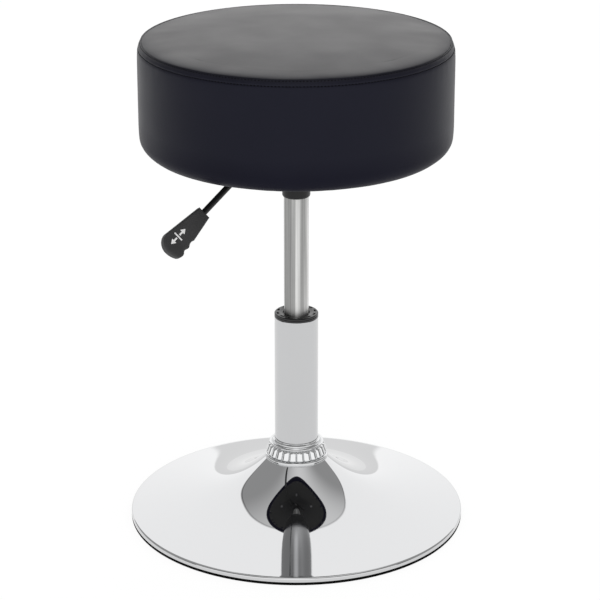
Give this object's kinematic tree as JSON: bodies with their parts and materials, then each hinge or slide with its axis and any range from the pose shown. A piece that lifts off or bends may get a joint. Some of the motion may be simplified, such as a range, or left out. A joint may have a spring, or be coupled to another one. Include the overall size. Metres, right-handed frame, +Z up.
{
  "type": "stylist stool",
  "caption": "Round padded swivel stool on a gas-lift column with a chromed trumpet base and a hand lever that releases the height lock.",
  "frame": {"origin": "on the floor, on the axis of the column", "axes": "+Z up along the column, -Y towards the front, the lever leaves towards -X -Y"},
  "size_m": [0.386, 0.386, 0.5714],
  "materials": {
    "chrome_base": "polished",
    "chrome_tube": "polished",
    "chrome_collar": "polished",
    "rim_rubber": "satin",
    "bush_plastic": "satin",
    "plain_steel": "satin",
    "gas_tube_steel": "satin",
    "bearing_steel": "polished",
    "cage_plastic": "satin",
    "seal_rubber": "matte",
    "bumper_rubber": "matte",
    "valve_alloy": "satin",
    "black_paint": "satin",
    "handle_plastic": "satin",
    "zinc_fastener": "satin",
    "plywood": "matte",
    "foam": "matte",
    "black_leatherette": "satin",
    "black_nonwoven": "matte"
  },
  "bodies": {
    "base": {"base_dish": "chrome_base", "rim_trim_ring": "rim_rubber", "hub_sleeve": "plain_steel", "base_brace_plate": "plain_steel", "column_tube": "chrome_tube", "tube_end_plate": "plain_steel", "collar_ring": "chrome_collar", "guide_bush": "bush_plastic", "bearing_lower_washer": "bearing_steel"},
    "spindle": {"piston_rod": "bearing_steel", "piston_head": "valve_alloy", "piston_seal": "seal_rubber", "bearing_upper_washer": "bearing_steel", "bearing_balls": "bearing_steel", "bearing_cage": "cage_plastic", "bump_stop": "bumper_rubber", "rod_washer": "zinc_fastener", "rod_clip": "plain_steel"},
    "lift": {"gas_cylinder": "gas_tube_steel", "cylinder_gland": "valve_alloy", "valve_block": "valve_alloy", "taper_socket": "black_paint", "lever_bracket": "black_paint", "lever_pin": "plain_steel", "seat_plate": "black_paint", "plate_bolts": "zinc_fastener", "plate_washers": "zinc_fastener", "tee_nuts": "zinc_fastener", "cover_top_panel": "black_leatherette", "cover_side_band": "black_leatherette", "seat_board": "plywood", "seat_foam": "foam", "dust_cover": "black_nonwoven", "dust_cover_staples": "zinc_fastener"},
    "lever": {"lever_rod": "black_paint", "lever_handle": "handle_plastic"},
    "button": {"release_button": "plain_steel"}
  },
  "joints": [
    {"name": "seat_swivel", "type": "hinge", "parent": "base", "child": "spindle", "pos_m": [0, 0, 0.0236], "axis": [0, 0, 1], "continuous": true},
    {"name": "height_lift", "type": "slide", "parent": "spindle", "child": "lift", "axis": [0, 0, 1], "range_m": [-0.12, 0]},
    {"name": "lever_lift", "type": "hinge", "parent": "lift", "child": "lever", "pos_m": [-0.01697, -0.01697, 0.428], "axis": [-0.7071, 0.7071, 0], "range_deg": [0, 7], "stiffness_Nm_per_rad": 6, "springref_deg": -5.73},
    {"name": "button_press", "type": "slide", "parent": "lift", "child": "button", "axis": [0, 0, 1], "range_m": [-0.003, 0]}
  ],
  "couplings": [
    {"joint": "button_press", "follows": "lever_lift", "m_per_rad": -0.024}
  ]
}
